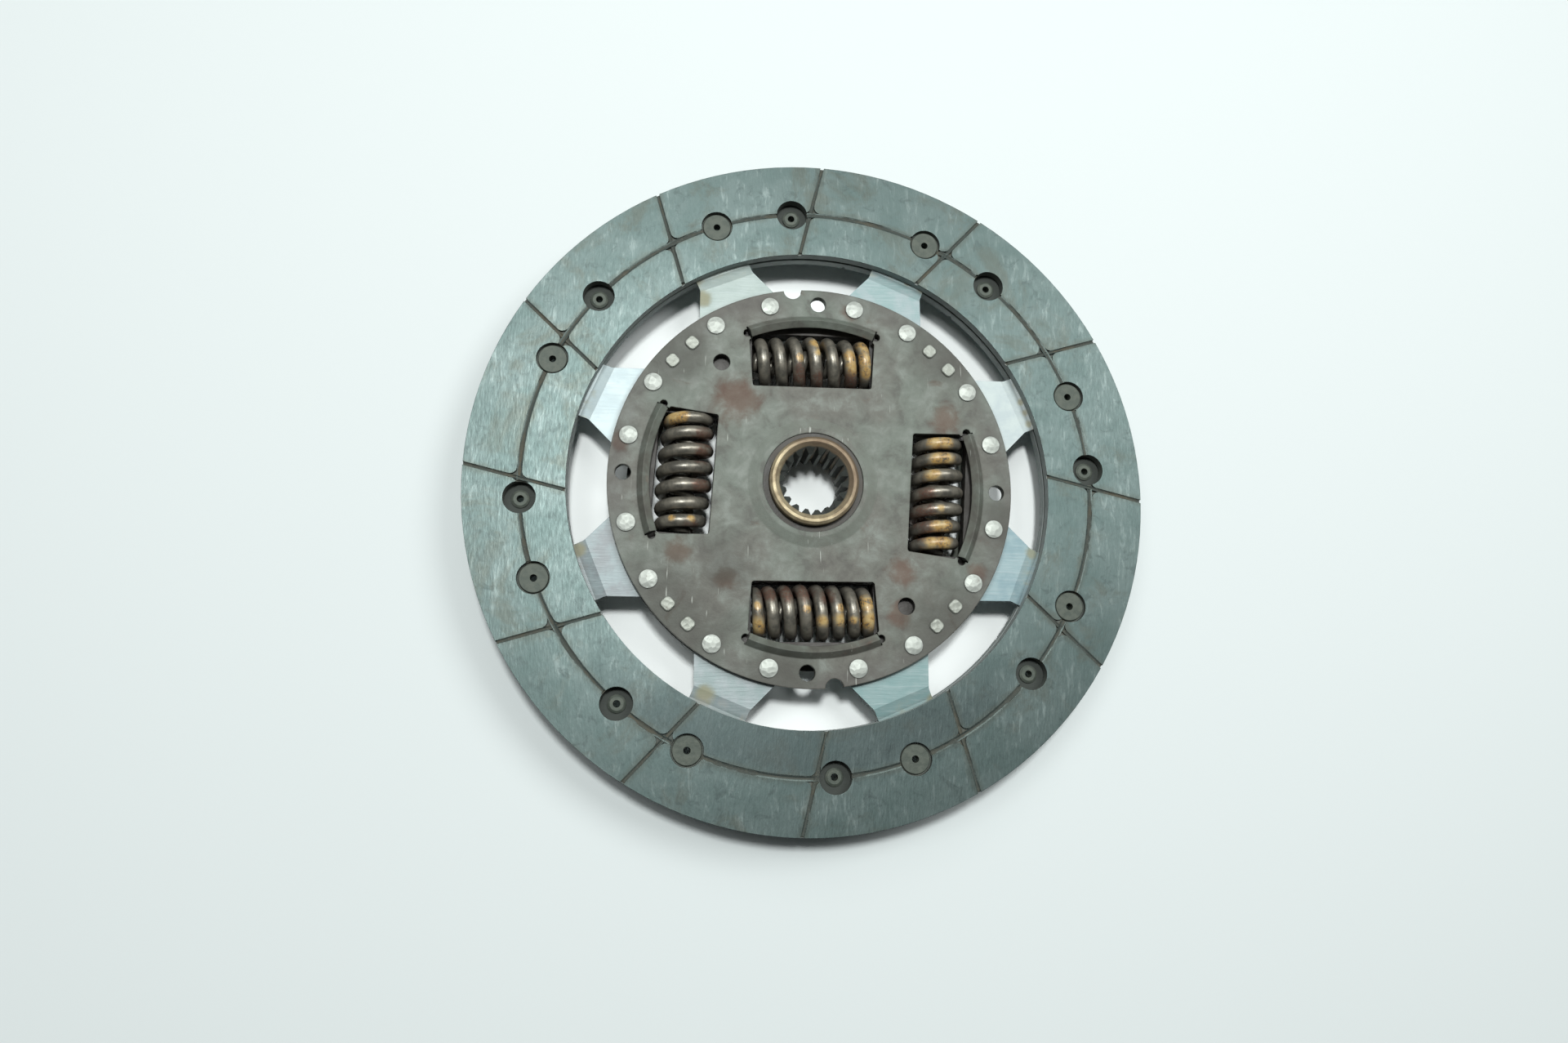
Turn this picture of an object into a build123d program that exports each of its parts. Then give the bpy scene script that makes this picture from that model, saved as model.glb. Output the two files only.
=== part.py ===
"""Sprung clutch disc of a dry single-plate car clutch.

The hub slides on the gearbox input shaft. Its flange drives four coil springs that sit in
the windows of two guide washers, and the washers carry eight cushion segments with a
friction facing riveted on each side. The hub can turn a few degrees inside the disc.

Frame: origin at the centre of the hub's rear end face, +Z along the bore towards the front
facing, +X through the middle of the segment gap that has no edge notch. Millimetres, degrees.
"""
from build123d import *
from math import asin, cos, degrees, radians, sin
import os

os.makedirs("parts", exist_ok=True)

# ---------------------------------------------------------------- driving dimensions
# Stack along the axis
facing_mid_height = 12.1      # middle of the cushion segments above the hub's rear end
facing_thickness = 3.1        # worn facing
segment_thickness = 0.7
segment_wave = 0.5            # height difference between a segment's two pads
washer_thickness = 2.6
front_washer_step = 0.3       # front washer's face above the front facing's face
flange_thickness = 4.2
flange_side_gap = 0.6         # between the flange and each guide washer
hub_front_reach = 4.6         # hub's front end above the front facing's face

# Friction facings
facing_radius = 107.5
facing_bore_radius = 76.5
facing_rivets = 8
facing_rivet_inset = 1.6      # rivet circle inside the middle of the facing's width
front_rivet_angle = 20.1      # first rivet whose head lies in the front facing
rear_rivet_angle = 4.1        # first rivet whose head lies in the rear facing
recess_radius = 5.0
recess_web = 1.3              # facing left under a rivet head
groove_count = 12
groove_width = 1.1
ring_groove_width = 1.5
groove_depth = 0.9
groove_offset = 22.0          # straight grooves miss the centre by this much
groove_direction = -13.8      # of the first straight groove
groove_corner = 2.2

# Facing rivets, hollow, rolled over at the far side
facing_rivet_head_radius = 4.5
facing_rivet_head_height = 1.0
facing_rivet_head_edge = 0.2
facing_rivet_shank_radius = 2.1
facing_rivet_bore_radius = 1.1
facing_rivet_roll_radius = 2.8
facing_rivet_roll_height = 0.8
rivet_hole_clearance = 0.1

# Cushion segments
segment_count = 8
segment_angle = 22.4          # middle of the first segment's foot
segment_foot_half_width = 13.6
segment_foot_margin = 2.7     # foot's inner edge inside the rivet circle
segment_neck_half_width = 9.2
segment_neck_cover = 2.0      # foot's full width ends this far under the washer's rim
segment_neck_gap = 4.0        # neck's narrow end to the facing's bore
segment_joggle_gap = 4.5      # start of the joggle to the facing's bore
segment_joggle_length = 3.5
segment_neck_overlap = 1.0    # how far the neck's outline runs into the pads
segment_pad_inner_margin = 2.0
segment_pad_outer_margin = 4.5
segment_pad_angle = -10.3     # middle of the pads, from the middle of the foot
segment_pad_half_angle = 20.6
segment_pad_corner = 5.0
segment_neck_corner = 2.5
segment_fold_offset = 14.5    # of the fold between the pads, from the middle of the foot
segment_fold_length = 5.0

# Segment rivets, solid, domed heads
segment_rivet_rim_gap = 4.6   # rivet circle to the washer's rim
segment_rivet_half_angle = 9.1
segment_rivet_head_radius = 2.85
segment_rivet_head_height = 0.9
segment_rivet_head_side = 0.45
segment_rivet_shank_radius = 1.75
segment_rivet_tail_radius = 2.6
segment_rivet_tail_height = 1.0
segment_rivet_tail_edge = 0.3

# Guide washers
washer_radius = 64.0
rear_rim_cutback = 5.6        # rear washer's rim between the ears that carry the stop spacers
rear_ear_half_angle = 11.0
collar_height = 1.2           # front washer's raised middle
collar_bush_margin = 0.2      # collar's flat beyond the front bush
collar_slope = 3.2
dish_depth = 2.0              # rear washer's dished middle
dish_ring_margin = 0.4        # dish's flat beyond the friction ring
dish_slope = 2.8
window_angles = (90.0, 176.0, 270.0, 356.0)
window_end_taper = 4.5
window_corner = 0.8
lip_rivet_gap = 4.5           # root of the lips to the segment rivets' circle
lip_root_width = 4.1          # root of the lips to the window's arc
lip_length = 2.9
lip_tilt = 50.0
lip_end_margin = 1.8208       # lip's end beyond the window's length at its inner edge
lip_slit_angle = 0.45
relief_hole_radius = 1.25
relief_hole_root_gap = 1.9
relief_hole_lead = 0.9        # angle from the lip's end
through_hole_radius = 2.5
through_hole_rim_gap = 4.8
through_hole_angle = -2.0
locating_hole_radius = 2.7
locating_hole_root_gap = 6.6  # inside the circle of the lips' roots
locating_hole_angle = 127.0
edge_notch_radius = 2.9
edge_notch_angle = 95.7

# Stop spacers, flat bars with two peened tenons at each side
stop_angle = 45.0
stop_half_length = 7.3
stop_inner_margin = 5.2       # bar's inner and outer sides from the circle of its tenons
stop_outer_margin = 2.4
tenon_rim_gap = 5.1           # circle of the tenons to the washer's rim
tenon_half_angle = 4.2
tenon_width = 3.5
tenon_corner = 1.1
tenon_clearance = 0.05
peen_height = 0.6
peen_spread = 0.3

# Hub and flange
hub_boss_radius = 14.0
hub_seat_step = 2.2           # flange's seat proud of the boss
hub_collar_step = 1.8         # collar proud of the seat
hub_collar_thickness = 1.4
hub_edge = 0.8
hub_lead_width = 1.7          # flat ring at each end, outside the spline's lead-in
hub_lead_depth = 3.1
spline_teeth = 18
spline_first_gap = 6.0        # angle of the first gap between two teeth
spline_minor_radius = 8.95
spline_depth = 1.95
spline_gap_mouth = 2.1
spline_gap_floor = 0.9
flange_stop_overlap = 2.3     # flange's rim beyond the inner sides of the stop spacers
flange_fit = 0.03
flange_window_corner = 0.8
stop_travel = 8.5             # hub twist to each stop
stop_clearance_angle = 0.3
notch_floor_clearance = 0.6

# Damper springs
spring_length = 37.8
outer_coil_radius = 9.0
outer_wire = 4.0
outer_pitch = 5.8
inner_coil_radius = 4.6
inner_wire = 2.4
inner_pitch = 3.8
spring_arc_gap = 1.4          # between a spring and the arc of the washers' windows
spring_edge_gap = 0.2         # to the straight edge and the ends of the washers' windows
spring_end_gap = 0.3          # to the flange's windows
spring_side_gap = 0.3

# Friction device round the hub
bush_hub_gap = 0.1
bush_wall = 1.75
bush_washer_gap = 0.05
front_bush_lip_width = 1.3    # lip under the front washer
front_bush_set_back = 0.4     # bush's end below the collar's top
face_gap = 0.3                # between the flange and what rubs on it
friction_ring_thickness = 0.9
friction_ring_window_gap = 4.8  # friction ring to the straight edge of the windows
ring_collar_gap = 0.4
pressure_plate_thickness = 0.6
belleville_thickness = 0.5
belleville_edge_gap = 0.4

# ---------------------------------------------------------------- derived radii
# Facings and the segments between them
facing_rivet_circle = (facing_radius + facing_bore_radius) / 2 - facing_rivet_inset
segment_pad_inner_radius = facing_bore_radius + segment_pad_inner_margin
segment_pad_outer_radius = facing_radius - segment_pad_outer_margin
segment_joggle_start = facing_bore_radius - segment_joggle_gap
segment_neck_end = facing_bore_radius - segment_neck_gap
segment_neck_start = washer_radius - segment_neck_cover
# From the guide washers' rim inwards
segment_rivet_circle = washer_radius - segment_rivet_rim_gap
segment_foot_radius = segment_rivet_circle - segment_foot_margin
through_hole_circle = washer_radius - through_hole_rim_gap
rear_rim_radius = washer_radius - rear_rim_cutback
tenon_circle = washer_radius - tenon_rim_gap
stop_inner = tenon_circle - stop_inner_margin
stop_outer = tenon_circle + stop_outer_margin
flange_radius = stop_inner + flange_stop_overlap
lip_root_radius = segment_rivet_circle - lip_rivet_gap
relief_hole_circle = lip_root_radius - relief_hole_root_gap
locating_hole_circle = lip_root_radius - locating_hole_root_gap
window_outer_radius = lip_root_radius - lip_root_width
spring_circle = window_outer_radius - spring_arc_gap - outer_coil_radius
window_inner = spring_circle - outer_coil_radius - spring_edge_gap
window_half_length = spring_length / 2 + spring_edge_gap
lip_half_angle = degrees(asin((window_half_length + lip_end_margin) / lip_root_radius))
relief_hole_angle = lip_half_angle + relief_hole_lead
# From the hub's boss outwards
hub_lead_radius = hub_boss_radius - hub_lead_width
spline_major_radius = spline_minor_radius + spline_depth
hub_seat_radius = hub_boss_radius + hub_seat_step
hub_collar_radius = hub_seat_radius + hub_collar_step
washer_bore_radius = hub_boss_radius + bush_hub_gap + bush_wall + bush_washer_gap
front_bush_lip_radius = washer_bore_radius + front_bush_lip_width
collar_flat_radius = front_bush_lip_radius + collar_bush_margin
collar_foot_radius = collar_flat_radius + collar_slope
friction_ring_outer_radius = window_inner - friction_ring_window_gap
dish_flat_radius = friction_ring_outer_radius + dish_ring_margin
dish_foot_radius = dish_flat_radius + dish_slope

# ---------------------------------------------------------------- derived heights
cushion_height = segment_thickness + segment_wave
front_facing_back = facing_mid_height + cushion_height / 2
front_facing_face = front_facing_back + facing_thickness
rear_facing_back = facing_mid_height - cushion_height / 2
hub_length = front_facing_face + hub_front_reach
front_washer_face = front_facing_face + front_washer_step
front_washer_back = front_washer_face - washer_thickness
flange_front = front_washer_back - flange_side_gap
flange_rear = flange_front - flange_thickness
flange_mid = (flange_front + flange_rear) / 2
rear_washer_back = flange_rear - flange_side_gap
rear_washer_face = rear_washer_back - washer_thickness
segment_foot_bottom = front_washer_back - segment_thickness
segment_rivet_bottom = segment_foot_bottom - segment_rivet_tail_height
high_pad_bottom = front_facing_back - segment_thickness
low_pad_bottom = rear_facing_back


# ---------------------------------------------------------------- planes and outlines
def level(height, angle=0.0):
    """Horizontal plane whose x axis points away from the axis at this angle."""
    return Plane(origin=(0, 0, height), x_dir=(cos(radians(angle)), sin(radians(angle)), 0), z_dir=(0, 0, 1))


def upright(angle):
    """Plane through the axis: x points outwards at this angle, y points up."""
    return Plane(origin=(0, 0, 0), x_dir=(cos(radians(angle)), sin(radians(angle)), 0),
                 z_dir=(sin(radians(angle)), -cos(radians(angle)), 0))


def polar(radius, angle):
    """Point on a circle round the axis."""
    return (radius * cos(radians(angle)), radius * sin(radians(angle)))


def wedge(start, end):
    """Sketch shape: pie slice between two angles, cut out of what the sketch holds."""
    far = 2 * facing_radius
    Polygon((0, 0), polar(far, start), polar(far, (start + end) / 2), polar(far, end),
            align=None, mode=Mode.INTERSECT)


def outline(points):
    """Sketch face inside a closed run of straight lines."""
    Polygon(*points, align=None)


# Places of the segment rivets, two in each segment's foot
segment_rivet_places = [
    polar(segment_rivet_circle, segment_angle + side * segment_rivet_half_angle + k * 360 / segment_count)
    for k in range(segment_count) for side in (-1, 1)]
# Places of the tenons, two on each stop spacer, with the angle of their spacer
tenon_places = [(stop_angle + 90 * k, side * tenon_half_angle) for k in range(4) for side in (-1, 1)]


# ---------------------------------------------------------------- friction facings
def facing(back):
    """Friction facing that lies on the plane `back`, with its worn face away from it."""
    with BuildPart() as ring:
        with BuildSketch(back):
            Circle(facing_radius)
            Circle(facing_bore_radius, mode=Mode.SUBTRACT)
        extrude(amount=facing_thickness)
        # Own rivets sit in stepped recesses, the other facing's rivets in clear holes
        with BuildSketch(back):
            with PolarLocations(facing_rivet_circle, facing_rivets, front_rivet_angle):
                Circle(facing_rivet_shank_radius + rivet_hole_clearance)
            with PolarLocations(facing_rivet_circle, facing_rivets, rear_rivet_angle):
                Circle(recess_radius)
        extrude(amount=facing_thickness, mode=Mode.SUBTRACT)
        with BuildSketch(back.offset(recess_web)):
            with PolarLocations(facing_rivet_circle, facing_rivets, front_rivet_angle):
                Circle(recess_radius)
        extrude(amount=facing_thickness, mode=Mode.SUBTRACT)
        # Worn grooves: twelve straight ones and one round the rivet circle
        with BuildSketch(back.offset(facing_thickness - groove_depth)) as grooves:
            Circle(facing_rivet_circle + ring_groove_width / 2)
            Circle(facing_rivet_circle - ring_groove_width / 2, mode=Mode.SUBTRACT)
            with PolarLocations(0, groove_count, groove_direction):
                with Locations(((facing_radius + facing_bore_radius) / 2, groove_offset)):
                    Rectangle(facing_radius - facing_bore_radius + groove_offset / 2, groove_width)
            crossings = [v for v in grooves.vertices()
                         if abs(Vector(v.X, v.Y).length - facing_rivet_circle) < ring_groove_width]
            fillet(crossings, groove_corner)
        extrude(amount=facing_thickness, mode=Mode.SUBTRACT)
    return ring.part


front_facing_plane = level(front_facing_back)
# The rear facing is the same ring turned over, and turned so that its recesses meet its rivets
rear_facing_plane = Plane(origin=(0, 0, rear_facing_back), z_dir=(0, 0, -1),
                          x_dir=(*polar(1, front_rivet_angle + rear_rivet_angle), 0))
front_facing = facing(front_facing_plane)
front_facing.label = "front_facing"
export_step(front_facing, "parts/front_facing.step")

rear_facing = facing(rear_facing_plane)
rear_facing.label = "rear_facing"
export_step(rear_facing, "parts/rear_facing.step")


# ---------------------------------------------------------------- facing rivets
def hollow_rivet(grip):
    """Hollow rivet on the Z axis: head on z = 0, rolled end below the clamped thickness."""
    with BuildPart() as rivet:
        with BuildSketch(Plane.XZ):
            outline([(facing_rivet_bore_radius, facing_rivet_head_height),
                     (facing_rivet_head_radius - facing_rivet_head_edge, facing_rivet_head_height),
                     (facing_rivet_head_radius, facing_rivet_head_height - facing_rivet_head_edge),
                     (facing_rivet_head_radius, 0),
                     (facing_rivet_shank_radius, 0),
                     (facing_rivet_shank_radius, -grip),
                     (facing_rivet_roll_radius, -grip),
                     (facing_rivet_roll_radius, -grip - facing_rivet_roll_height / 2),
                     (facing_rivet_shank_radius, -grip - facing_rivet_roll_height),
                     (facing_rivet_bore_radius, -grip - facing_rivet_roll_height)])
        revolve(axis=Axis.Z)
    return rivet.part


facing_rivet_blank = hollow_rivet(recess_web + segment_thickness)

with BuildPart() as front_facing_rivets:
    with Locations(level(front_facing_back + recess_web)):
        with PolarLocations(facing_rivet_circle, facing_rivets, front_rivet_angle):
            add(facing_rivet_blank)
front_facing_rivets.part.label = "front_facing_rivets"
export_step(front_facing_rivets.part, "parts/front_facing_rivets.step")

with BuildPart() as rear_facing_rivets:
    with Locations(rear_facing_plane.offset(recess_web)):
        with PolarLocations(facing_rivet_circle, facing_rivets, front_rivet_angle):
            add(facing_rivet_blank)
rear_facing_rivets.part.label = "rear_facing_rivets"
export_step(rear_facing_rivets.part, "parts/rear_facing_rivets.step")


# ---------------------------------------------------------------- cushion segments
def cushion_segment(angle):
    """Spring steel paddle: foot under the front washer, joggled neck, two offset pads."""
    ahead = polar(1, angle)
    aside = polar(1, angle + 90)
    fold_plane = Plane(origin=(-segment_fold_offset * aside[0], -segment_fold_offset * aside[1], 0),
                       x_dir=(*ahead, 0), z_dir=(-aside[0], -aside[1], 0))
    start_plane = Plane(origin=(segment_foot_radius * ahead[0], segment_foot_radius * ahead[1], 0),
                        x_dir=(*aside, 0), z_dir=(*ahead, 0))
    joggle_end = segment_joggle_start + segment_joggle_length
    fold_end = segment_fold_offset + segment_fold_length
    with BuildPart() as segment:
        # Strip with the foot, the joggle and the high pad, then the fold down to the low pad
        with BuildSketch(fold_plane):
            lower_line = [(0, segment_foot_bottom), (segment_joggle_start, segment_foot_bottom),
                          (joggle_end, high_pad_bottom), (facing_radius, high_pad_bottom)]
            outline(lower_line + [(x, z + segment_thickness) for x, z in reversed(lower_line)])
        extrude(amount=-facing_bore_radius)
        with BuildSketch(start_plane):
            lower_line = [(-segment_fold_offset, high_pad_bottom), (-fold_end, low_pad_bottom),
                          (-facing_bore_radius, low_pad_bottom)]
            outline(lower_line + [(x, z + segment_thickness) for x, z in reversed(lower_line)])
        extrude(amount=facing_radius)
        # Plan outline
        with BuildSketch(level(low_pad_bottom, angle)) as plan:
            Circle(segment_pad_outer_radius)
            Circle(segment_pad_inner_radius, mode=Mode.SUBTRACT)
            wedge(segment_pad_angle - segment_pad_half_angle, segment_pad_angle + segment_pad_half_angle)
            fillet(plan.vertices().sort_by_distance((0, 0))[-2:], segment_pad_corner)
            wide, narrow = segment_foot_half_width, segment_neck_half_width
            neck_outer = segment_pad_inner_radius + segment_neck_overlap
            outline([(0, -wide), (segment_neck_start, -wide), (segment_neck_end, -narrow), (neck_outer, -narrow),
                     (neck_outer, narrow), (segment_neck_end, narrow), (segment_neck_start, wide), (0, wide)])
            Circle(segment_foot_radius, mode=Mode.SUBTRACT)
            corners = [Vector(x, y) for x, y in ((segment_neck_start, wide), (segment_neck_end, narrow))]
            bends = [v for v in plan.vertices()
                     if min((Vector(v.X, abs(v.Y)) - corner).length for corner in corners) < segment_neck_overlap]
            fillet(bends, segment_neck_corner)
        extrude(amount=front_washer_back - low_pad_bottom, mode=Mode.INTERSECT)
        # Rivet holes
        with BuildSketch(level(low_pad_bottom, angle)):
            for side in (-1, 1):
                with Locations(polar(segment_rivet_circle, side * segment_rivet_half_angle)):
                    Circle(segment_rivet_shank_radius + rivet_hole_clearance)
            for hole_angle in (front_rivet_angle, rear_rivet_angle):
                with Locations(polar(facing_rivet_circle, hole_angle - segment_angle)):
                    Circle(facing_rivet_shank_radius + rivet_hole_clearance)
        extrude(amount=front_washer_back - low_pad_bottom, mode=Mode.SUBTRACT)
    return segment.part


for index in range(segment_count):
    segment_node = cushion_segment(segment_angle + index * 360 / segment_count)
    segment_node.label = f"cushion_segment_{index + 1}"
    export_step(segment_node, f"parts/{segment_node.label}.step")


# ---------------------------------------------------------------- guide washers
def window_sketch():
    """Guide washer's spring window: straight inner edge, slightly flared ends, arc outside."""
    spread = window_half_length + (lip_root_radius - window_inner) * sin(radians(window_end_taper))
    with BuildSketch() as shape:
        Circle(window_outer_radius)
        Polygon((window_inner, -window_half_length), (lip_root_radius, -spread),
                (lip_root_radius, spread), (window_inner, window_half_length),
                align=None, mode=Mode.INTERSECT)
        fillet(shape.vertices(), window_corner)
    return shape.sketch


washer_window = window_sketch()


def guide_washer(side, mid_flat_radius, mid_foot_radius, mid_rise):
    """Sheet steel washer beside the flange, side +1 in front and -1 behind, holes included."""
    def at(rise):
        return flange_mid + side * (flange_thickness / 2 + flange_side_gap + rise)

    low = min(at(0), at(washer_thickness)) - mid_rise
    tall = washer_thickness + 2 * mid_rise
    tip_r = lip_root_radius - lip_length * cos(radians(lip_tilt))
    tip_rise = washer_thickness + lip_length * sin(radians(lip_tilt))
    under_r = tip_r - washer_thickness * sin(radians(lip_tilt))
    under_rise = tip_rise - washer_thickness * cos(radians(lip_tilt))
    bend_r = under_r + under_rise * cos(radians(lip_tilt)) / sin(radians(lip_tilt))
    with BuildPart() as washer:
        with BuildSketch(upright(0)):
            outline([(washer_bore_radius, at(mid_rise)), (mid_flat_radius, at(mid_rise)),
                     (mid_foot_radius, at(0)), (washer_radius, at(0)),
                     (washer_radius, at(washer_thickness)), (mid_foot_radius, at(washer_thickness)),
                     (mid_flat_radius, at(washer_thickness + mid_rise)),
                     (washer_bore_radius, at(washer_thickness + mid_rise))])
        revolve(axis=Axis.Z)
        for angle in window_angles:
            # Window with the slit sector that the lip is bent out of
            with BuildSketch(level(low, angle)):
                Circle(lip_root_radius)
                Circle(window_outer_radius - window_corner, mode=Mode.SUBTRACT)
                wedge(-lip_half_angle - lip_slit_angle, lip_half_angle + lip_slit_angle)
                add(washer_window)
                for turn in (-relief_hole_angle, relief_hole_angle):
                    with Locations(polar(relief_hole_circle, turn)):
                        Circle(relief_hole_radius)
            extrude(amount=tall, mode=Mode.SUBTRACT)
            # Lip over the spring
            with BuildSketch(upright(angle - lip_half_angle)):
                outline([(lip_root_radius, at(washer_thickness)), (tip_r, at(tip_rise)),
                         (under_r, at(under_rise)), (bend_r, at(0)), (lip_root_radius, at(0))])
            revolve(axis=Axis.Z, revolution_arc=2 * lip_half_angle)
        # Locating and tenon holes in both, and in front also rivet and through holes and edge notches
        with BuildSketch(level(low)):
            with PolarLocations(locating_hole_circle, 2, locating_hole_angle):
                Circle(locating_hole_radius)
            if side > 0:
                with Locations(*segment_rivet_places):
                    Circle(segment_rivet_shank_radius + rivet_hole_clearance)
                with PolarLocations(through_hole_circle, 4, through_hole_angle):
                    Circle(through_hole_radius)
                with PolarLocations(washer_radius, 2, edge_notch_angle):
                    Circle(edge_notch_radius)
            for middle, turn in tenon_places:
                with PolarLocations(0, 1, middle):
                    with Locations(polar(tenon_circle, turn)):
                        RectangleRounded(tenon_width + 2 * tenon_clearance, tenon_width + 2 * tenon_clearance,
                                         tenon_corner)
        extrude(amount=tall, mode=Mode.SUBTRACT)
        # Behind, the rim is cut back between the stop spacers, which leaves the rivets' tails free
        if side < 0:
            for quarter in range(4):
                with BuildSketch(level(low, stop_angle + 90 * quarter)):
                    Circle(washer_radius + 1)
                    Circle(rear_rim_radius, mode=Mode.SUBTRACT)
                    wedge(rear_ear_half_angle, 90 - rear_ear_half_angle)
                extrude(amount=tall, mode=Mode.SUBTRACT)
    return washer.part


front_guide_washer = guide_washer(1, collar_flat_radius, collar_foot_radius, collar_height)
front_guide_washer.label = "front_guide_washer"
export_step(front_guide_washer, "parts/front_guide_washer.step")

rear_guide_washer = guide_washer(-1, dish_flat_radius, dish_foot_radius, dish_depth)
rear_guide_washer.label = "rear_guide_washer"
export_step(rear_guide_washer, "parts/rear_guide_washer.step")

# ---------------------------------------------------------------- segment rivets
with BuildPart() as segment_rivet_blank:
    with BuildSketch(Plane.XZ):
        with BuildLine():
            Polyline((0, segment_rivet_bottom),
                     (segment_rivet_tail_radius - segment_rivet_tail_edge, segment_rivet_bottom),
                     (segment_rivet_tail_radius, segment_rivet_bottom + segment_rivet_tail_edge),
                     (segment_rivet_tail_radius, segment_foot_bottom),
                     (segment_rivet_shank_radius, segment_foot_bottom),
                     (segment_rivet_shank_radius, front_washer_face),
                     (segment_rivet_head_radius, front_washer_face),
                     (segment_rivet_head_radius, front_washer_face + segment_rivet_head_side))
            TangentArc((0, front_washer_face + segment_rivet_head_height),
                       (segment_rivet_head_radius, front_washer_face + segment_rivet_head_side),
                       tangent=(1, 0))
            Line((0, front_washer_face + segment_rivet_head_height), (0, segment_rivet_bottom))
        make_face()
    revolve(axis=Axis.Z)

with BuildPart() as segment_rivets:
    with Locations(*segment_rivet_places):
        add(segment_rivet_blank.part)
segment_rivets.part.label = "segment_rivets"
export_step(segment_rivets.part, "parts/segment_rivets.step")


# ---------------------------------------------------------------- stop spacers
def stop_spacer(angle):
    """Flat bar between the guide washers, its tenons peened over their outer faces."""
    with BuildPart() as spacer:
        with BuildSketch(level(rear_washer_back, angle)) as bar:
            with Locations(((stop_inner + stop_outer) / 2, 0)):
                Rectangle(stop_outer - stop_inner, 2 * stop_half_length)
            fillet(bar.vertices(), tenon_corner)
        extrude(amount=front_washer_back - rear_washer_back)
        for start, reach in ((rear_washer_face, front_washer_face - rear_washer_face),
                             (rear_washer_face - peen_height, peen_height),
                             (front_washer_face, peen_height)):
            spread = peen_spread if reach == peen_height else 0
            with BuildSketch(level(start, angle)):
                for turn in (-tenon_half_angle, tenon_half_angle):
                    with Locations(polar(tenon_circle, turn)):
                        RectangleRounded(tenon_width + 2 * spread, tenon_width + 2 * spread, tenon_corner + spread)
            extrude(amount=reach)
        ends = spacer.faces().filter_by(Axis.Z).group_by(Axis.Z)
        chamfer((ends[0] + ends[-1]).edges(), peen_height / 2)
    return spacer.part


for index in range(4):
    spacer_node = stop_spacer(stop_angle + 90 * index)
    spacer_node.label = f"stop_spacer_{index + 1}"
    export_step(spacer_node, f"parts/{spacer_node.label}.step")

# ---------------------------------------------------------------- hub
with BuildPart() as hub:
    with BuildSketch(upright(0)):
        outline([(spline_minor_radius, hub_lead_depth), (hub_lead_radius, 0),
                 (hub_boss_radius - hub_edge, 0), (hub_boss_radius, hub_edge),
                 (hub_boss_radius, flange_rear - hub_collar_thickness),
                 (hub_collar_radius, flange_rear - hub_collar_thickness),
                 (hub_collar_radius, flange_rear), (hub_seat_radius, flange_rear),
                 (hub_seat_radius, flange_front), (hub_boss_radius, flange_front),
                 (hub_boss_radius, hub_length - hub_edge), (hub_boss_radius - hub_edge, hub_length),
                 (hub_lead_radius, hub_length), (spline_minor_radius, hub_length - hub_lead_depth)])
    revolve(axis=Axis.Z)
    with BuildSketch(level(0)):
        with PolarLocations(0, spline_teeth, spline_first_gap):
            outline([(spline_minor_radius - 1, -spline_gap_mouth / 2), (spline_minor_radius, -spline_gap_mouth / 2),
                     (spline_major_radius, -spline_gap_floor / 2), (spline_major_radius, spline_gap_floor / 2),
                     (spline_minor_radius, spline_gap_mouth / 2), (spline_minor_radius - 1, spline_gap_mouth / 2)])
    extrude(amount=hub_length, mode=Mode.SUBTRACT)
hub.part.label = "hub"
export_step(hub.part, "parts/hub.step")

# Flange pressed on the hub, with a window for each spring and a notch for each stop spacer
notch_floor_radius = stop_inner - notch_floor_clearance
notch_half_angle = degrees(asin(stop_half_length / stop_inner)) + stop_travel + stop_clearance_angle
flange_window_depth = 2 * (outer_coil_radius + spring_side_gap)
flange_window_length = spring_length + 2 * spring_end_gap
with BuildPart() as hub_flange:
    with BuildSketch(level(flange_rear)) as web:
        Circle(flange_radius)
        Circle(hub_seat_radius + flange_fit, mode=Mode.SUBTRACT)
    extrude(amount=flange_thickness)
    for angle in window_angles:
        with BuildSketch(level(flange_rear, angle)):
            with Locations((spring_circle, 0)):
                RectangleRounded(flange_window_depth, flange_window_length, flange_window_corner)
        extrude(amount=flange_thickness, mode=Mode.SUBTRACT)
    for index in range(4):
        with BuildSketch(level(flange_rear, stop_angle + 90 * index)):
            Circle(flange_radius + 1)
            Circle(notch_floor_radius, mode=Mode.SUBTRACT)
            wedge(-notch_half_angle, notch_half_angle)
        extrude(amount=flange_thickness, mode=Mode.SUBTRACT)
hub_flange.part.label = "hub_flange"
export_step(hub_flange.part, "parts/hub_flange.step")


# ---------------------------------------------------------------- damper springs
def coil_spring(angle, coil_radius, wire, pitch, lefthand):
    """Coil spring along the tangent at this angle, its ends ground flat."""
    seat = Plane(origin=(*polar(spring_circle, angle), flange_mid), x_dir=(*polar(1, angle), 0),
                 z_dir=(*polar(1, angle + 90), 0))
    mean_radius = coil_radius - wire / 2
    run = spring_length + pitch
    with BuildPart() as coil:
        with BuildLine(seat.offset(-run / 2)) as path:
            Helix(pitch, run, mean_radius, direction=seat.z_dir, lefthand=lefthand)
        with BuildSketch(Plane(origin=path.line @ 0, z_dir=path.line % 0)):
            Circle(wire / 2)
        sweep(path=path.line, is_frenet=True)
        with BuildSketch(seat.offset(-spring_length / 2)):
            Circle(coil_radius + wire)
        extrude(amount=spring_length, mode=Mode.INTERSECT)
    return coil.part


for index, angle in enumerate(window_angles):
    outer_spring = coil_spring(angle, outer_coil_radius, outer_wire, outer_pitch, False)
    outer_spring.label = f"damper_spring_{index + 1}"
    export_step(outer_spring, f"parts/{outer_spring.label}.step")
    inner_spring = coil_spring(angle, inner_coil_radius, inner_wire, inner_pitch, True)
    inner_spring.label = f"inner_spring_{index + 1}"
    export_step(inner_spring, f"parts/{inner_spring.label}.step")

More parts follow.
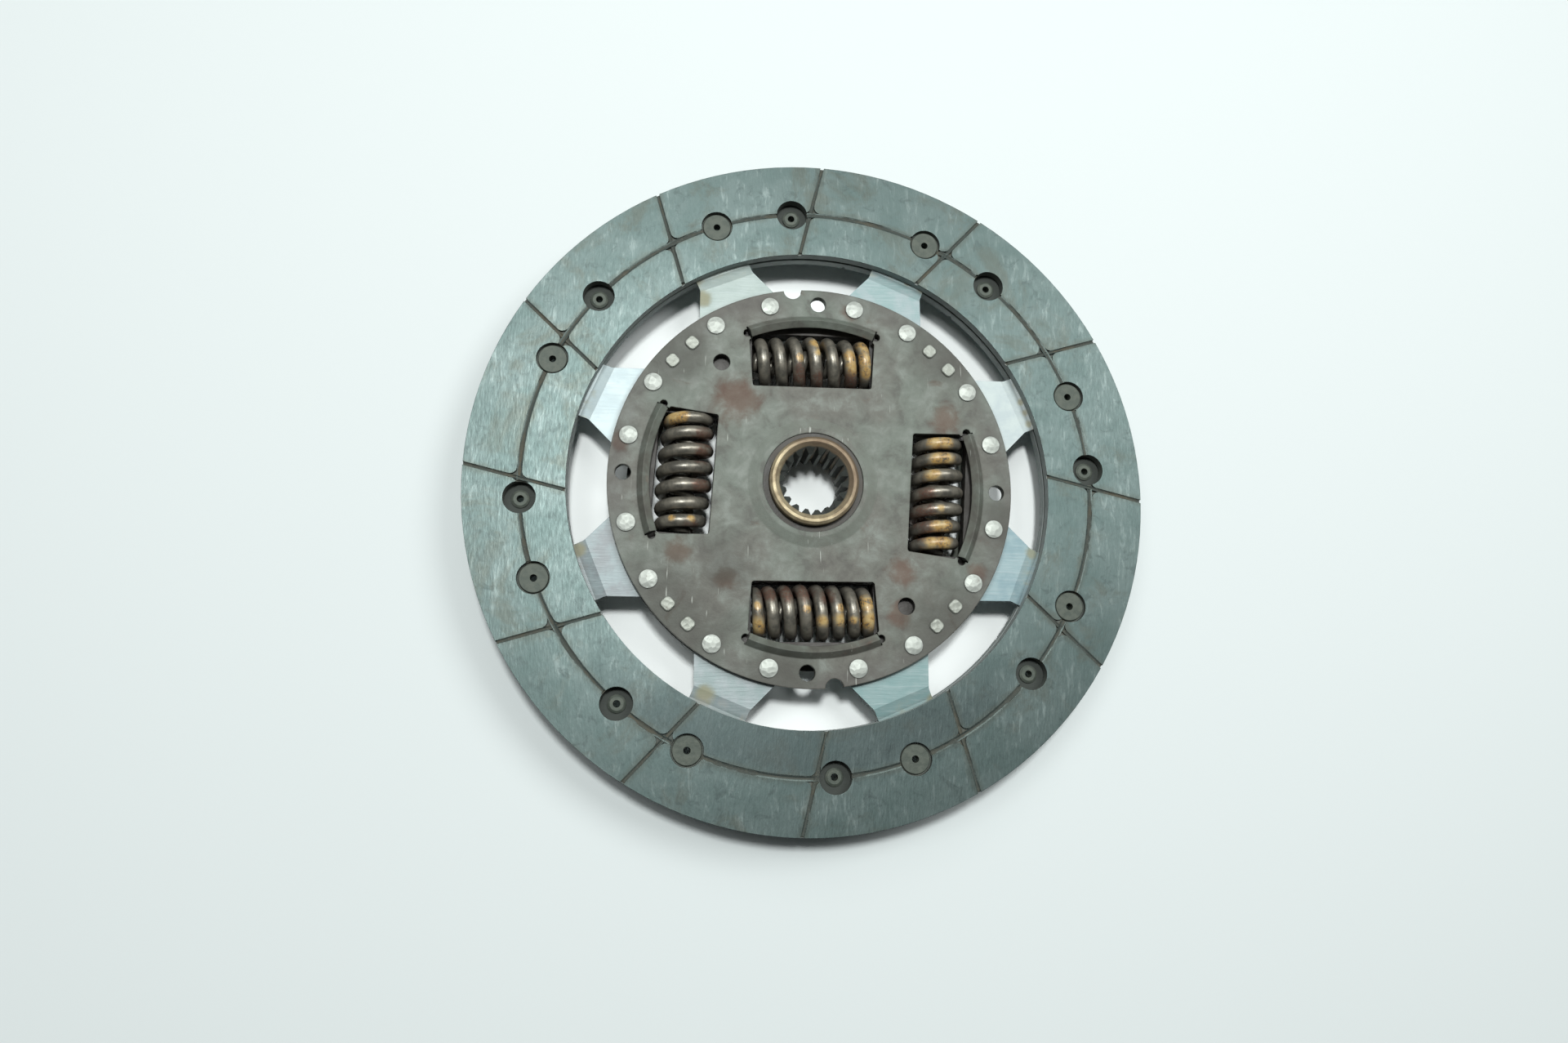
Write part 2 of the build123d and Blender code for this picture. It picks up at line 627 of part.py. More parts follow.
# ---------------------------------------------------------------- friction device
bush_bore_radius = hub_boss_radius + bush_hub_gap
bush_outer_radius = washer_bore_radius - bush_washer_gap
collar_top = front_washer_face + collar_height
collar_underside = front_washer_back + collar_height
with BuildPart() as front_bush:
    with BuildSketch(upright(0)):
        outline([(bush_bore_radius, flange_front + face_gap), (front_bush_lip_radius, flange_front + face_gap),
                 (front_bush_lip_radius, collar_underside), (bush_outer_radius, collar_underside),
                 (bush_outer_radius, collar_top - front_bush_set_back),
                 (bush_bore_radius, collar_top - front_bush_set_back)])
    revolve(axis=Axis.Z)
front_bush.part.label = "front_bush"
export_step(front_bush.part, "parts/front_bush.step")

dish_bottom = rear_washer_face - dish_depth
dish_floor = rear_washer_back - dish_depth
with BuildPart() as rear_bush:
    with BuildSketch(upright(0)):
        outline([(bush_bore_radius, dish_bottom), (bush_outer_radius, dish_bottom),
                 (bush_outer_radius, dish_floor), (bush_bore_radius, dish_floor)])
    revolve(axis=Axis.Z)
rear_bush.part.label = "rear_bush"
export_step(rear_bush.part, "parts/rear_bush.step")

ring_inner_radius = hub_collar_radius + ring_collar_gap
friction_face = flange_rear - face_gap
plate_top = friction_face - friction_ring_thickness
plate_bottom = plate_top - pressure_plate_thickness
with BuildPart() as friction_ring:
    with BuildSketch(level(plate_top)):
        Circle(friction_ring_outer_radius)
        Circle(ring_inner_radius, mode=Mode.SUBTRACT)
    extrude(amount=friction_ring_thickness)
friction_ring.part.label = "friction_ring"
export_step(friction_ring.part, "parts/friction_ring.step")

with BuildPart() as pressure_plate:
    with BuildSketch(level(plate_bottom)):
        Circle(friction_ring_outer_radius)
        Circle(ring_inner_radius, mode=Mode.SUBTRACT)
    extrude(amount=pressure_plate_thickness)
pressure_plate.part.label = "pressure_plate"
export_step(pressure_plate.part, "parts/pressure_plate.step")

belleville_outer = friction_ring_outer_radius - belleville_edge_gap
with BuildPart() as belleville_washer:
    with BuildSketch(upright(0)):
        outline([(ring_inner_radius, plate_bottom), (ring_inner_radius, plate_bottom - belleville_thickness),
                 (belleville_outer, dish_floor), (belleville_outer, dish_floor + belleville_thickness)])
    revolve(axis=Axis.Z)
belleville_washer.part.label = "belleville_washer"
export_step(belleville_washer.part, "parts/belleville_washer.step")
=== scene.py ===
# %% [markdown]
# # Dressing a worn clutch disc
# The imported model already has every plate, rivet and spring in its right place, in metres,
# with the hub's rear end standing on the ground. This notebook gives those pieces the look
# of a disc that has run in a car for years: glazed facings with dust in their grooves,
# oxidised washers, heat-tinted spring steel and paint-marked coils. Few new meshes are
# needed. The coil springs are wound again with closed and ground ends, and the worn
# grooves get the dust that packs into them.

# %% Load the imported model
from math import cos, pi, radians, sin

import bpy
import numpy as np
from mathutils import Matrix, Vector


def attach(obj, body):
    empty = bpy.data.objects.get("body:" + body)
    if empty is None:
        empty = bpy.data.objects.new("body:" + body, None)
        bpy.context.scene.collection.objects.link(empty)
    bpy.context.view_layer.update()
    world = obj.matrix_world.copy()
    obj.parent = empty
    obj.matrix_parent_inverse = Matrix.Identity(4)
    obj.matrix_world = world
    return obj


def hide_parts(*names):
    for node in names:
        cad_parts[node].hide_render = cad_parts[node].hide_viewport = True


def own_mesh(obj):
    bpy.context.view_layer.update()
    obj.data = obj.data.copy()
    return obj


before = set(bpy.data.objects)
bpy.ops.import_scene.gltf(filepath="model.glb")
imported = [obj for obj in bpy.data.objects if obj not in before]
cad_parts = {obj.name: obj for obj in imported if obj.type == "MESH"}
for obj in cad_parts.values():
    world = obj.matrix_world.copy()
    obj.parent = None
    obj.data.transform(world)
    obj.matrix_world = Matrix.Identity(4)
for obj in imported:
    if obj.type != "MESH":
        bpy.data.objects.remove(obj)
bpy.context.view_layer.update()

MM = 0.001

# %% [markdown]
# ## Floor, light and camera
# The disc lies on a pale table under four round lamps: a small strong one almost overhead,
# wide soft ones on the left and on the right, and a weak one at the far side. The glazed
# facings mirror them, so their places decide how the sheen runs round the ring: bright on the
# left, dark near the viewer. The overhead lamp is small because it draws the short crisp
# shadows that the segments drop into the openings. More world glow would fill those shadows,
# so there is only a trace of it. The table is whitest under the disc and a little greyer
# around it, which keeps the openings as bright as the open floor although less light gets in.

# %% Floor
FLOOR_HALF = 2.5
WHITE_UP_TO, GREY_FROM = 0.080, 0.106      # metres from the middle of the disc
WHITE_TABLE = (0.955, 0.985, 0.98, 1)
GREY_TABLE = (0.72, 0.765, 0.765, 1)

floor_mesh = bpy.data.meshes.new("table_top")
floor_mesh.from_pydata([(x * FLOOR_HALF, y * FLOOR_HALF, 0)
                        for x, y in ((-1, -1), (1, -1), (1, 1), (-1, 1))], [], [(0, 1, 2, 3)])
table_top = bpy.data.objects.new("table_top", floor_mesh)
bpy.context.collection.objects.link(table_top)

table_finish = bpy.data.materials.new("pale_table")
table_finish.use_nodes = True
table_tree = table_finish.node_tree
table_shader = table_tree.nodes["Principled BSDF"]
table_shader.inputs["Roughness"].default_value = 0.9
table_shader.inputs["Specular IOR Level"].default_value = 0.1
table_place = table_tree.nodes.new("ShaderNodeTexCoord")
from_middle = table_tree.nodes.new("ShaderNodeVectorMath")
from_middle.operation = "LENGTH"
table_tree.links.new(table_place.outputs["Object"], from_middle.inputs[0])
# Painted light: the table is painted whiter under the disc, to make up for the shade in the
# openings.
under_disc = table_tree.nodes.new("ShaderNodeMapRange")
under_disc.interpolation_type = "SMOOTHSTEP"
under_disc.inputs["From Min"].default_value = GREY_FROM
under_disc.inputs["From Max"].default_value = WHITE_UP_TO
table_tree.links.new(from_middle.outputs["Value"], under_disc.inputs["Value"])
whiteness = table_tree.nodes.new("ShaderNodeMix")
whiteness.data_type = "RGBA"
whiteness.inputs[6].default_value = GREY_TABLE
whiteness.inputs[7].default_value = WHITE_TABLE
table_tree.links.new(under_disc.outputs[0], whiteness.inputs[0])
table_tree.links.new(whiteness.outputs[2], table_shader.inputs["Base Color"])
floor_mesh.materials.append(table_finish)
print("floor", 2 * FLOOR_HALF, "m wide")

# %% Lamps and world
LAMP_COLOUR = (0.97, 1.0, 0.99)
GLOW_COLOUR = (0.93, 1.0, 1.0, 1)
GLOW_STRENGTH = 0.07


def soft_lamp(name, place, size, energy):
    """Round lamp that faces the disc."""
    data = bpy.data.lights.new(name, "AREA")
    data.shape = "DISK"
    data.size = size
    data.energy = energy
    data.color = LAMP_COLOUR
    lamp = bpy.data.objects.new(name, data)
    lamp.location = place
    lamp.rotation_euler = (-Vector(place)).to_track_quat("-Z", "Y").to_euler()
    bpy.context.collection.objects.link(lamp)
    print(name, energy, "W")


soft_lamp("overhead_lamp", (-0.05, 0.24, 1.05), 0.16, 7.7)
soft_lamp("left_lamp", (-0.42, 0.30, 1.05), 0.44, 2.3)
soft_lamp("right_lamp", (0.66, 0.42, 1.0), 0.60, 6.2)
soft_lamp("far_lamp", (-0.02, 0.78, 0.85), 0.50, 1.15)

world = bpy.data.worlds.new("even_glow")
world.use_nodes = True
glow = world.node_tree.nodes["Background"]
glow.inputs["Color"].default_value = GLOW_COLOUR
glow.inputs["Strength"].default_value = GLOW_STRENGTH
bpy.context.scene.world = world
bpy.context.scene.view_settings.view_transform = "Standard"
print("world glow", GLOW_STRENGTH)

# %% Camera
CAMERA_PLACE = Vector((-42.01, -67.98, 321.75)) * MM
SENSOR_WIDTH = 36.0
FOCAL_LENGTH = 23.06

camera_data = bpy.data.cameras.new("overhead_camera")
camera_data.sensor_width = SENSOR_WIDTH
camera_data.lens = FOCAL_LENGTH
camera_data.clip_start = 0.01
camera = bpy.data.objects.new("overhead_camera", camera_data)
picture_right = Vector((0.99428, -0.0002, 0.10679)).normalized()
picture_up = Vector((-0.01875, 0.98414, 0.1764)).normalized()
backwards = picture_right.cross(picture_up).normalized()
picture_up = backwards.cross(picture_right)
turn = Matrix((picture_right, picture_up, backwards)).transposed().to_4x4()
camera.matrix_world = Matrix.Translation(CAMERA_PLACE) @ turn
bpy.context.collection.objects.link(camera)
bpy.context.scene.camera = camera
print("camera", [round(v, 3) for v in camera.location])

# %% [markdown]
# ## A short way to write node materials
# Each finish below is a small graph of nodes: noise at one or two scales, masks made from
# where a point lies on the disc, and colours laid over each other by them. Written out node by
# node that gets long, so this helper adds a node, fills its sockets and hands back its output.
# Every position is the point's place on the part itself in millimetres, so the marks stay on
# the piece when it turns.

# %% The finish helper
SPOT_CORE = 0.3           # of a spot's reach is fully covered
SPOT_RAGGEDNESS = 0.7     # of its reach, to either side


class Finish:
    """A principled material with short calls for the nodes that feed it."""

    def __init__(self, name, **sockets):
        self.material = bpy.data.materials.new(name)
        self.material.use_nodes = True
        self.tree = self.material.node_tree
        self.shader = self.tree.nodes["Principled BSDF"]
        for socket, value in sockets.items():
            label = socket.replace("_", " ").title().replace("Ior", "IOR")
            self.shader.inputs[label].default_value = value
        coordinates = self.tree.nodes.new("ShaderNodeTexCoord").outputs
        self.normal = coordinates["Normal"]
        self.place = self.vector("SCALE", coordinates["Object"], Scale=1 / MM)
        self.x, self.y, self.z = self.split(self.place)
        self.flat_place = self.join(self.x, self.y, 0.0)
        self.radius = self.vector("LENGTH", self.flat_place, output=1)

    def feed(self, socket, value):
        if isinstance(value, bpy.types.NodeSocket):
            self.tree.links.new(value, socket)
        elif socket.type == "RGBA":
            socket.default_value = (*value, 1)
        else:
            socket.default_value = value

    def add(self, kind, sockets, output=0, **settings):
        """Adds one node and hands back one of its outputs."""
        node = self.tree.nodes.new(kind)
        for key, value in settings.items():
            setattr(node, key, value)
        for key, value in sockets.items():
            self.feed(node.inputs[key], value)
        return node.outputs[output]

    def calc(self, operation, *values):
        return self.add("ShaderNodeMath", dict(enumerate(values)), operation=operation)

    def vector(self, operation, *values, output=0, **sockets):
        return self.add("ShaderNodeVectorMath", {**dict(enumerate(values)), **sockets}, output,
                        operation=operation)

    def split(self, vector):
        node = self.tree.nodes.new("ShaderNodeSeparateXYZ")
        self.feed(node.inputs[0], vector)
        return node.outputs

    def join(self, x, y, z):
        return self.add("ShaderNodeCombineXYZ", {0: x, 1: y, 2: z})

    def combed(self, where, degrees, stretch):
        """Place turned about the disc's axis and scaled, so that noise in it turns to strokes."""
        return self.add("ShaderNodeMapping", {"Vector": where, "Rotation": (0, 0, radians(degrees)),
                                              "Scale": stretch})

    def noise(self, where, size, detail=3.0, rough=0.55, bend=0.0):
        """Cloudy noise from 0 to 1 whose lumps are about `size` millimetres."""
        return self.add("ShaderNodeTexNoise", {"Vector": where, "Scale": 1 / size, "Detail": detail,
                                               "Roughness": rough, "Distortion": bend})

    def flecks(self, where, size):
        """Distance to the nearest of many scattered points."""
        return self.add("ShaderNodeTexVoronoi", {"Vector": where, "Scale": 1 / size})

    def rise(self, value, start, end):
        """0 before start, 1 after end, smooth between; start may be the larger one."""
        return self.add("ShaderNodeMapRange", {0: value, 1: start, 2: end, 3: 0.0, 4: 1.0},
                        interpolation_type="SMOOTHSTEP")

    def between(self, share, low, high):
        """Plain number that goes from low to high with share."""
        return self.add("ShaderNodeMapRange", {0: share, 1: 0.0, 2: 1.0, 3: low, 4: high})

    def choice(self, share, first, second):
        """Plain number that goes from one calculated number to another with share."""
        return self.add("ShaderNodeMix", {0: share, 2: first, 3: second})

    def both(self, *masks):
        result = masks[0]
        for mask in masks[1:]:
            result = self.calc("MULTIPLY", result, mask)
        return result

    def either(self, *masks):
        result = masks[0]
        for mask in masks[1:]:
            result = self.calc("MAXIMUM", result, mask)
        return result

    def blend(self, share, first, second):
        return self.add("ShaderNodeMix", {0: share, 6: first, 7: second}, 2, data_type="RGBA")

    def coat(self, under, mask, share, colour):
        """Lays a colour over another where the mask is, and covers it by at most this share."""
        return self.blend(self.between(mask, 0.0, share), under, colour)

    def heap(self, first, first_share, second, second_share):
        """Sum of a share of each of two heights."""
        return self.calc("ADD", self.between(first, 0.0, first_share),
                         self.between(second, 0.0, second_share))

    def spot(self, x, y, reach, ragged=None):
        """Mask round one place on the disc, with an edge made ragged by a noise."""
        away = self.vector("DISTANCE", self.flat_place, (x, y, 0.0), output=1)
        if ragged is not None:
            shift = SPOT_RAGGEDNESS * reach
            away = self.calc("ADD", away, self.between(ragged, -shift, shift))
        return self.rise(away, reach, SPOT_CORE * reach)

    def spots(self, places, ragged=None):
        return self.either(*[self.spot(*place, ragged) for place in places])

    def grime_and_shade(self, reach):
        """1 in corners and holes that light hardly gets into, 0 in the open: a mask for grime there
        and for painted shade.
        """
        open_sky = self.add("ShaderNodeAmbientOcclusion", {"Distance": reach * MM}, 1, samples=6)
        return self.calc("SUBTRACT", 1.0, open_sky)

    def surface(self, colour, roughness, height, depth, edge):
        """Joins colour and roughness, and a height in millimetres over softly rounded edges."""
        self.feed(self.shader.inputs["Base Color"], colour)
        self.feed(self.shader.inputs["Roughness"], roughness)
        rounded = self.add("ShaderNodeBevel", {"Radius": edge * MM}, samples=4)
        relief = self.add("ShaderNodeBump", {"Height": height, "Distance": depth * MM,
                                             "Strength": 1.0, "Normal": rounded})
        self.feed(self.shader.inputs["Normal"], relief)
        return self.material


def dress(finish, *nodes):
    """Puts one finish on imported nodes."""
    for name in nodes:
        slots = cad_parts[name].data.materials
        slots.clear()
        slots.append(finish)


print("helper ready")

# %% [markdown]
# ## Friction facings
# A facing is pressed from yarn, resin and filler. In use its face glazes to a slate grey with
# paler strokes where it was wiped and olive stains where oil crept, while its grooves and
# rivet recesses fill with grey dust. A picture could carry this, but masks from the geometry
# stay sharp at any size: a point lies in a groove or recess if it is below the face, and near
# a straight groove if its angle fits.

# %% Distance from a groove
FACING_MIDDLE = 12.1
GROOVE_RING = 90.4
GROOVE_OFFSET = 22.0
GROOVE_COUNT = 12
GROOVE_START = radians(-13.8)
GROOVE_STEP = radians(360 / GROOVE_COUNT)
TURNED_OVER = radians(24.2)     # twice the angle of the line that the rear facing is turned about


def groove_distance(finish):
    """Millimetres from the nearest groove, straight or round."""
    lean = finish.calc("ARCSINE", finish.calc("DIVIDE", GROOVE_OFFSET, finish.radius))
    side = finish.calc("SIGN", finish.calc("SUBTRACT", finish.z, FACING_MIDDLE))
    angle = finish.calc("ARCTAN2", finish.y, finish.x)
    mirrored = finish.calc("SUBTRACT", TURNED_OVER, angle)
    own_angle = finish.choice(finish.rise(side, -0.5, 0.5), mirrored, angle)
    past = finish.calc("SUBTRACT", finish.calc("SUBTRACT", own_angle, lean), GROOVE_START)
    straight = finish.calc("ABSOLUTE", finish.calc("WRAP", past, GROOVE_STEP / 2, -GROOVE_STEP / 2))
    ring = finish.calc("ABSOLUTE", finish.calc("SUBTRACT", finish.radius, GROOVE_RING))
    return finish.calc("MINIMUM", finish.calc("MULTIPLY", straight, finish.radius), ring)


print(GROOVE_COUNT, "straight grooves and one ring")

# %% Facing finish
FACE_LEVEL = 3.7          # of each worn face from the middle between the facings
FACING_BORE, FACING_RIM = 76.8, 107.2
FACE_SHINE = 0.8
DARK_SLATE, PALE_SLATE = (0.083, 0.117, 0.112), (0.108, 0.142, 0.137)
WIPED, MOTTLED = (0.175, 0.217, 0.21), (0.058, 0.078, 0.076)
OLIVE_STAIN, NEAR_SIDE_DARKENING, DUSTY = (0.078, 0.083, 0.067), (0.047, 0.062, 0.063), (0.066, 0.070, 0.056)
GREY_DUST, BROWN_DUST = (0.080, 0.089, 0.078), (0.10, 0.098, 0.076)
RECESS_FLOOR = (0.115, 0.13, 0.118)
BORE_WALL_PAINTED_PALE, OUTER_WALL = (0.36, 0.40, 0.39), (0.15, 0.175, 0.17)
WALL_GRIME = (0.11, 0.12, 0.11)


def facing_finish():
    f = Finish("glazed_facing", metallic=FACE_SHINE)
    groove = groove_distance(f)
    level = f.calc("ABSOLUTE", f.calc("SUBTRACT", f.z, FACING_MIDDLE))
    sunk = f.rise(level, FACE_LEVEL - 0.05, FACE_LEVEL - 0.25)

    # The glazed face with its strokes and mottles
    wiped = f.combed(f.place, -8, (1.0, 0.22, 1.0))
    clouds = f.noise(f.place, 15, 4, 0.62, 0.4)
    strokes = f.noise(wiped, 1.7, 4, 0.62, 0.5)
    fine = f.noise(wiped, 0.55, 2, 0.6)
    face = f.blend(f.rise(clouds, 0.3, 0.7), DARK_SLATE, PALE_SLATE)
    pale = f.both(f.rise(strokes, 0.53, 0.70), f.rise(clouds, 0.32, 0.62))
    face = f.coat(face, pale, 0.85, WIPED)
    dark = f.rise(f.noise(f.place, 4.5, 4, 0.65, 0.8), 0.54, 0.70)
    face = f.coat(face, dark, 0.6, MOTTLED)

    # Olive stains, a darker band inside the near side, and dust beside the grooves
    stained = f.rise(f.noise(f.place, 20, 5, 0.68, 0.6), 0.50, 0.66)
    face = f.coat(face, stained, 0.5, OLIVE_STAIN)
    ragged_y = f.calc("ADD", f.y, f.between(clouds, -12, 12))
    near_side_band = f.both(f.rise(f.radius, 94, 86), f.rise(ragged_y, -48, -74))
    face = f.coat(face, near_side_band, 0.55, NEAR_SIDE_DARKENING)
    frayed = f.calc("ADD", groove, f.between(f.noise(f.place, 6, 4, 0.6), -2.2, 2.2))
    face = f.coat(face, f.rise(frayed, 2.4, 0.4), 0.4, DUSTY)

    # Below the face: groove floors, recess floors and the walls at bore and rim. The bore wall is
    # painted pale: painted light for the shade it stands in.
    dust = f.blend(f.rise(f.noise(f.place, 9, 3), 0.35, 0.65), GREY_DUST, BROWN_DUST)
    low = f.coat(dust, f.rise(groove, 0.8, 1.1), 0.8, RECESS_FLOOR)
    wall = f.blend(f.rise(f.radius, 80, 100), BORE_WALL_PAINTED_PALE, OUTER_WALL)
    wall = f.coat(wall, f.noise(f.place, 3, 3), 0.5, WALL_GRIME)
    on_wall = f.either(f.rise(f.radius, FACING_RIM, FACING_RIM + 0.2),
                       f.rise(f.radius, FACING_BORE, FACING_BORE - 0.2))
    low = f.blend(on_wall, low, wall)

    f.feed(f.shader.inputs["Metallic"], f.between(sunk, FACE_SHINE, 0.0))
    roughness = f.calc("ADD", f.between(sunk, 0.42, 0.85), f.between(fine, -0.10, 0.14))
    height = f.heap(strokes, 0.6, fine, 0.4)
    return f.surface(f.blend(sunk, face, low), roughness, height, 0.09, 0.18)


dress(facing_finish(), "front_facing", "rear_facing")
print("facings dressed")

# %% [markdown]
# ## Dust in the grooves
# Worn grooves are never empty: dust packs into them and stands almost level with the face in
# places, so that a groove narrows to a thin dark line and comes back. Colour alone can't do that,
# because a deep groove keeps its shadow. So a thin strip of dust is laid along each groove,
# hollow in the middle like a dried puddle, and its height wanders. Dust that reaches the face
# is smeared flat and glazed like it.

# %% Cross-section of the dust
GROOVE_FLOOR = 2.8        # of each groove, from the middle between the facings
ACROSS = np.array([-1.0, -0.7, -0.35, 0.0, 0.35, 0.7, 1.0])
HOLLOW = 0.32 * (1 - ACROSS ** 2) ** 2
WANDER_SHARE = 0.65
LEAST_FILL, MOST_FILL = 0.03, 0.95
RIVET_ANGLES = [radians(first + 45 * k) for first in (4.1, 20.1) for k in range(8)]
CLEAR_OF_RIVETS = 4.9


def wander(distance, seed):
    """Smooth random height from 0 to 1 along a strip."""
    rng = np.random.default_rng(seed)
    total = np.zeros_like(distance)
    for wave, share in ((31.0, 0.5), (11.0, 0.3), (3.7, 0.2)):
        total += share * np.sin(2 * pi * distance / wave + rng.uniform(0, 2 * pi))
    return 0.5 + 0.5 * total


def dust_strip(middle, sideways, half_width, distance, seed, fullness):
    """Grid of points along one groove, and its faces where no recess interrupts it."""
    fill = np.clip(fullness + WANDER_SHARE * (wander(distance, seed) - 0.5), 0.15, 1.0)
    filled = np.clip(fill[:, None] - HOLLOW[None, :], LEAST_FILL, MOST_FILL)
    level = GROOVE_FLOOR + (FACE_LEVEL - GROOVE_FLOOR) * filled
    flat = middle[:, None, :] + sideways[:, None, :] * (ACROSS * half_width)[None, :, None]
    points = np.concatenate([flat, level[:, :, None]], axis=2).reshape(-1, 3)
    rivets = GROOVE_RING * np.stack([np.cos(RIVET_ANGLES), np.sin(RIVET_ANGLES)], 1)
    apart = np.linalg.norm(middle[:, None, :] - rivets[None, :, :], axis=2).min(axis=1)
    wide = len(ACROSS)
    faces = [(i * wide + j, i * wide + j + 1, (i + 1) * wide + j + 1, (i + 1) * wide + j)
             for i in range(len(distance) - 1) if apart[i:i + 2].min() > CLEAR_OF_RIVETS
             for j in range(wide - 1)]
    return points, faces


print(len(ACROSS), "points across a strip")

# %% Strips for one facing
STRIP_STEP = 0.6
STRAIGHT_FROM, STRAIGHT_TO = 73.5, 105.0    # along a groove, a little past both edges
STRAIGHT_HALF_WIDTH, STRAIGHT_FULLNESS = 0.54, 0.82
RING_HALF_WIDTH, RING_FULLNESS = 0.74, 0.95
RING_SEED = 50


def straight_strip(index):
    """Dust of one straight groove, from the bore to the rim."""
    angle = GROOVE_START + index * GROOVE_STEP
    along = np.array([cos(angle), sin(angle)])
    aside = np.array([-sin(angle), cos(angle)])
    run = np.arange(STRAIGHT_FROM, STRAIGHT_TO, STRIP_STEP)
    middle = along * run[:, None] + aside * GROOVE_OFFSET
    reach = np.hypot(middle[:, 0], middle[:, 1])
    inside = (reach > FACING_BORE) & (reach < FACING_RIM)
    middle, run = middle[inside], run[inside]
    sideways = np.repeat(-aside[None, :], len(run), 0)
    return dust_strip(middle, sideways, STRAIGHT_HALF_WIDTH, run, index, STRAIGHT_FULLNESS)


def ring_strip():
    """Dust of the round groove."""
    turn_steps = int(2 * pi * GROOVE_RING / STRIP_STEP)
    angles = np.linspace(0, 2 * pi, turn_steps + 1)
    outward = np.stack([np.cos(angles), np.sin(angles)], 1)
    return dust_strip(outward * GROOVE_RING, outward, RING_HALF_WIDTH, angles * GROOVE_RING,
                      RING_SEED, RING_FULLNESS)


def groove_dust(name, turned_over):
    points, faces, start = [], [], 0
    for strip_points, strip_faces in [*map(straight_strip, range(GROOVE_COUNT)), ring_strip()]:
        points.append(strip_points)
        faces += [tuple(start + i for i in face) for face in strip_faces]
        start += len(strip_points)
    cloud = np.concatenate(points)
    if turned_over:
        x, y = cloud[:, 0].copy(), cloud[:, 1].copy()
        cloud[:, 0] = x * cos(TURNED_OVER) + y * sin(TURNED_OVER)
        cloud[:, 1] = x * sin(TURNED_OVER) - y * cos(TURNED_OVER)
        cloud[:, 2] = -cloud[:, 2]
    cloud[:, 2] += FACING_MIDDLE
    mesh = bpy.data.meshes.new(name)
    mesh.from_pydata([tuple(p) for p in cloud * MM], [], faces)
    mesh.polygons.foreach_set("use_smooth", [True] * len(faces))
    strip = bpy.data.objects.new(name, mesh)
    bpy.context.collection.objects.link(strip)
    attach(strip, "disc")
    return strip


print("strips every", STRIP_STEP, "mm")

# %% Dust finish
PACKED_GREY, PACKED_BROWN = (0.062, 0.071, 0.063), (0.092, 0.085, 0.063)
PALE_GRIT, SMEARED_DUST = (0.105, 0.11, 0.093), (0.085, 0.105, 0.098)


def dust_finish():
    f = Finish("packed_dust", specular_ior_level=0.25)
    patches = f.noise(f.place, 12, 4, 0.6)
    grit = f.noise(f.place, 0.5, 3, 0.6)
    colour = f.blend(f.rise(patches, 0.42, 0.66), PACKED_GREY, PACKED_BROWN)
    colour = f.blend(f.rise(grit, 0.5, 0.75), colour, PALE_GRIT)
    level = f.calc("ABSOLUTE", f.calc("SUBTRACT", f.z, FACING_MIDDLE))
    smeared = f.rise(f.calc("ADD", level, f.between(patches, -0.12, 0.12)), 3.38, 3.58)
    colour = f.blend(smeared, colour, SMEARED_DUST)
    f.feed(f.shader.inputs["Metallic"], f.between(smeared, 0.0, FACE_SHINE))
    roughness = f.choice(smeared, f.between(grit, 0.75, 0.95), f.between(grit, 0.42, 0.55))
    return f.surface(colour, roughness, grit, 0.10, 0.1)


packed_dust = dust_finish()
for strip_name, turned_over in (("front_groove_dust", False), ("rear_groove_dust", True)):
    dust = groove_dust(strip_name, turned_over)
    dust.data.materials.append(packed_dust)
    print(strip_name, len(dust.data.polygons), "faces")

# %% [markdown]
# ## Facing rivets
# The facings hang on soft hollow rivets whose flat heads sink below the face. They have gone dull
# and olive, with a darker ring against the recess that is grime and painted shade. A metal base
# with a high roughness keeps them lifeless next to the bright rivets of the washers.

# %% Facing rivet finish
def facing_rivet_finish():
    f = Finish("tarnished_rivet", metallic=0.35)
    tarnish = f.noise(f.place, 2.2, 3, 0.6)
    colour = f.blend(f.rise(tarnish, 0.35, 0.65), (0.066, 0.080, 0.066), (0.10, 0.114, 0.094))
    # Grime and painted shade darken the corners where the head meets the recess.
    colour = f.coat(colour, f.grime_and_shade(1.2), 0.4, (0.045, 0.047, 0.04))
    return f.surface(colour, f.between(tarnish, 0.5, 0.72), tarnish, 0.12, 0.15)


dress(facing_rivet_finish(), "front_facing_rivets", "rear_facing_rivets")
print("facing rivets dressed")

# %% [markdown]
# ## Guide washers
# The washers are stamped from sheet steel and blackened. Oil and rust have turned the black to
# a brown grey, greenish where oil stays and red where it rusts, with a few bright scratches.
# Large soft noise moves between those tones, and a handful of rust marks and darker patches sit by
# place. What noise can't know comes from the shape: the way a surface faces tells the slope of the
# collar and the cut walls of the windows from the flat sheet, and its height tells the inside
# between the two washers. The slope is painted lighter to cancel its shading, and the cut walls and
# the inside are painted near black, painted shade with grease.

# %% Washer finish
RUST_MARKS = [(-24, 26, 10), (43, 22, 6), (28, -28, 6), (27, -41, 5), (-42, -23, 6), (-27, -30, 5),
              (12, 57, 4), (-60, 12, 4), (52, -28, 4)]
DARK_PATCH_MARKS = [(-42, -42, 24), (-28, -28, 15), (42, -46, 20), (-44, 44, 16), (44, 44, 14),
               (-10, -61, 15), (60, -12, 11)]
GREEN_OXIDE, BROWN_OXIDE = (0.135, 0.155, 0.130), (0.122, 0.121, 0.103)
PALE_OXIDE, DARK_CLOUD = (0.185, 0.205, 0.18), (0.07, 0.064, 0.057)
OLD_RUST, DULL_RIM = (0.19, 0.088, 0.06), (0.085, 0.078, 0.072)
DARK_PATCH_TONE, SCRATCHED_STEEL = (0.062, 0.061, 0.050), (0.42, 0.44, 0.40)
SLOPE_PAINTED_LIGHTER, GREASE_AND_SHADE = (0.24, 0.265, 0.23), (0.028, 0.029, 0.026)
CORNER_GRIME_AND_SHADE = (0.025, 0.023, 0.021)


